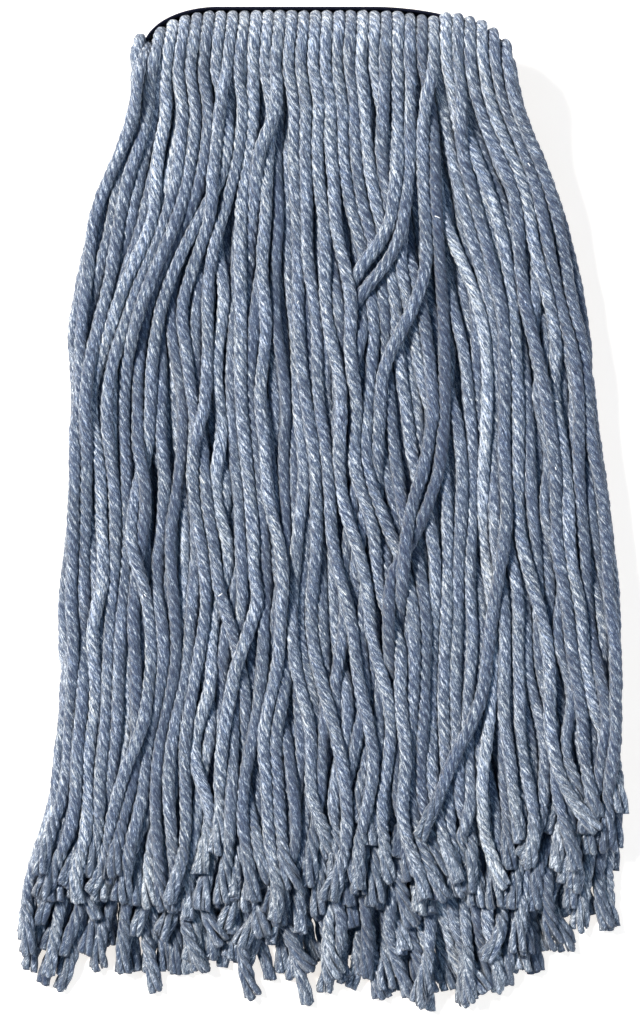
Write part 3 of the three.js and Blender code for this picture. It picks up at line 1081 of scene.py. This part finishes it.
# The tape's skin lies SKIN_DEPTH in from the CAD tape's face, short of its ends and edges by the two
# clearances. Its edges are rounded, each seam dents it, and it is ribbed and a little wavy.
BAND_END_CLEARANCE, BAND_EDGE_CLEARANCE = 0.3, 0.1
BAND_STEPS, BAND_STEPS_ACROSS = 420, 90
SKIN_DEPTH = 0.25
EDGE_RADIUS, DENT, DENT_WIDTH = 0.55, 0.3, 0.55
RIB, RIB_PITCH = 0.05, 0.9
WAVINESS = 0.03


def band_line(distances):
    """Places on the band's outer face at distances from its left end, and the ways in from there."""
    x = np.linspace(LEFT_END, BAND_LINE_END, BAND_LINE_STEPS)
    drop, _ = corner(x)
    along = np.concatenate([[0], np.cumsum(np.hypot(np.diff(x), np.diff(drop)))])
    place = np.interp(distances, along, x)
    behind = np.interp(distances, along, drop)
    ahead = np.interp(distances + 0.5, along, x) - np.interp(distances - 0.5, along, x)
    deeper = np.interp(distances + 0.5, along, drop) - np.interp(distances - 0.5, along, drop)
    length = np.hypot(ahead, deeper)
    inward = np.stack([-deeper / length, ahead / length], -1)
    return np.stack([place, behind], -1), inward


def on_band(distances, height, depth):
    """Points in the row frame at a height above the band's middle and a depth in from its outer face."""
    line, inward = band_line(distances)
    flat = line + inward * np.asarray(depth)[..., None]
    height = np.broadcast_to(height, flat[..., 0].shape)
    return np.stack([flat[..., 0] + SIDE_SHIFT, FOLD_Y - flat[..., 1], MID_Z + height], -1)


def add_headband():
    """The tape as one closed skin, with rounded edges and a dent along every seam, and its stitches."""
    along = np.linspace(BAND_END_CLEARANCE, BAND_LENGTH - BAND_END_CLEARANCE, BAND_STEPS)
    half = BAND_WIDTH / 2 - BAND_EDGE_CLEARANCE
    across = np.linspace(-half, half, BAND_STEPS_ACROSS)
    past_flat = (np.abs(across) - half + EDGE_RADIUS).clip(0) / EDGE_RADIUS
    edge = 1 - np.sqrt(np.clip(1 - past_flat**2, 0, 1))
    dent = sum(np.exp(-((across - row) / DENT_WIDTH) ** 2) for row in SEAM_ROWS)
    rib = RIB * np.cos(2 * math.pi * across / RIB_PITCH)
    outer_depth = SKIN_DEPTH + EDGE_RADIUS * edge + DENT * dent + rib
    inner_depth = SKIN_DEPTH + BAND_THICKNESS - EDGE_RADIUS * edge
    rings = []
    for distance in along:
        here = np.full(len(across), distance)
        outer = on_band(here, across, outer_depth + WAVINESS * math.sin(distance * 7.0))
        inner = on_band(here, across[::-1], inner_depth[::-1])
        rings.append(np.concatenate([outer, inner]))
    rings = np.array(rings)
    grain = np.zeros(rings.shape)
    grain[..., 0] = np.concatenate([across, across[::-1] + 40])
    grain[..., 1] = along[:, None]
    shape = Shape()
    shape.tube(rings, grain, 0 * grain)
    band = shape.build("headband_tape", band_material())
    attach(band, "band_and_fold")
    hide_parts("headband")
    thread = thread_material()
    for number, row in enumerate(SEAM_ROWS, 1):
        piece = stitch_row(f"seam_stitches_{number}", row, SEAM_DEPTH, 1, SEAM_END_CLEARANCE, thread)
        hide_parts(f"seam_thread_{number}")
    for number, row in enumerate(BOBBIN_ROWS, 1):
        piece = stitch_row(f"bobbin_stitches_{number}", row, BOBBIN_DEPTH, -1, BOBBIN_END_CLEARANCE, thread)
        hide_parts(f"bobbin_thread_{number}")


def stitch_row(name, row, depth, dives, clearance, material):
    """One row of lockstitches: short plump threads that dive in (dives = 1) or out (-1) at each end."""
    shape = Shape()
    angle = ring_angles(STITCH_SIDES)
    t = np.linspace(0, 1, STITCH_RINGS)
    dive = STITCH_DIVE * (2 * t - 1) ** 6
    radius = STITCH_RADIUS * np.sqrt(np.clip(1 - (2 * t - 1) ** 8, 0.05, 1))
    for start in np.arange(clearance, BAND_LENGTH - clearance - STITCH_PITCH, STITCH_PITCH):
        distances = start + STITCH_GAP / 2 + t * (STITCH_PITCH - STITCH_GAP)
        centre = on_band(distances, row, depth + dives * dive)
        _, inward = band_line(distances)
        out = np.stack([inward[:, 0], -inward[:, 1], 0 * t], -1)
        spoke = spokes(angle[None, :], out, UP[None, :])
        rings = centre[:, None, :] + radius[:, None, None] * spoke
        grain = np.zeros(rings.shape)
        grain[..., 0] = angle + row
        grain[..., 1] = start + t[:, None] * STITCH_PITCH
        shape.tube(rings, grain, 0 * grain)
    piece = shape.build(name, material)
    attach(piece, "band_and_fold")
    return piece


add_camera()
add_floor()
add_light()
bpy.context.scene.view_settings.view_transform = "Standard"

rng = np.random.default_rng(11)
yarns = Yarns(rng)
settle(yarns)
marled = yarn_material()
top_strands(yarns, rng, marled)
other_strands(yarns, rng, marled)
add_headband()
